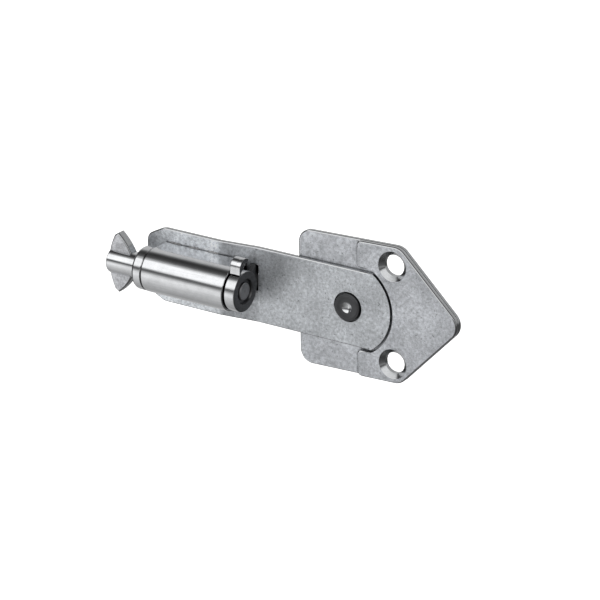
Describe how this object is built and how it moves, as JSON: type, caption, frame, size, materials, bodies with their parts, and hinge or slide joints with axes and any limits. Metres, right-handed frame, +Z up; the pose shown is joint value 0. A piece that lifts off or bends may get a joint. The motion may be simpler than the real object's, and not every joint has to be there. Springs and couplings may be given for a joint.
{
  "type": "toggle bolt latch",
  "caption": "Screw-on latch: a riveted strap swings in a pentagonal plate's pocket and carries a barrel whose winged spindle turns a hooked cam in a slot.",
  "frame": {"origin": "midway between the two screw holes, on the mounting face", "axes": "+X along the strap towards the point of the plate, +Y into the surface the latch is screwed to, +Z up"},
  "size_m": [0.1245, 0.0199, 0.0456],
  "materials": {
    "plate_steel": "tumbled stainless sheet with a fine grey mottle",
    "strap_steel": "tumbled stainless sheet with a fine grey mottle",
    "turned_steel": "polished turned steel",
    "wing_steel": "satin cast steel",
    "cam_steel": "machined steel, bright on the rim and dark on the face",
    "rivet_steel": "dark turned steel with concentric tool marks",
    "washer_steel": "dark spring steel",
    "weld_steel": "brushed weld bead",
    "spring_steel": "bright drawn wire",
    "bush_bronze": "sintered bronze"
  },
  "bodies": {
    "mount": {"base_plate": "plate_steel", "cover_plate": "plate_steel", "pivot_rivet": "rivet_steel", "pivot_washer": "washer_steel"},
    "strap": {"swing_arm": "strap_steel", "barrel_housing": "turned_steel", "seam_welds": "weld_steel", "toggle_bush": "bush_bronze", "cam_bush": "bush_bronze", "detent_ball": "spring_steel", "detent_spring": "spring_steel"},
    "toggle": {"spindle": "turned_steel", "thumb_wing": "wing_steel", "toggle_collar": "turned_steel", "collar_washer": "washer_steel", "locking_cam": "cam_steel", "cam_washer": "washer_steel", "cam_rivet": "rivet_steel"}
  },
  "joints": [
    {"name": "strap_swing", "type": "hinge", "parent": "mount", "child": "strap", "pos_m": [-0.0163, 0, 0], "axis": [0, 1, 0], "range_deg": [-7.1, 2.9]},
    {"name": "toggle_turn", "type": "hinge", "parent": "strap", "child": "toggle", "pos_m": [-0.01626, -0.0125, 0.001], "axis": [0.9993, 0, -0.0366], "range_deg": [0, 90]}
  ]
}
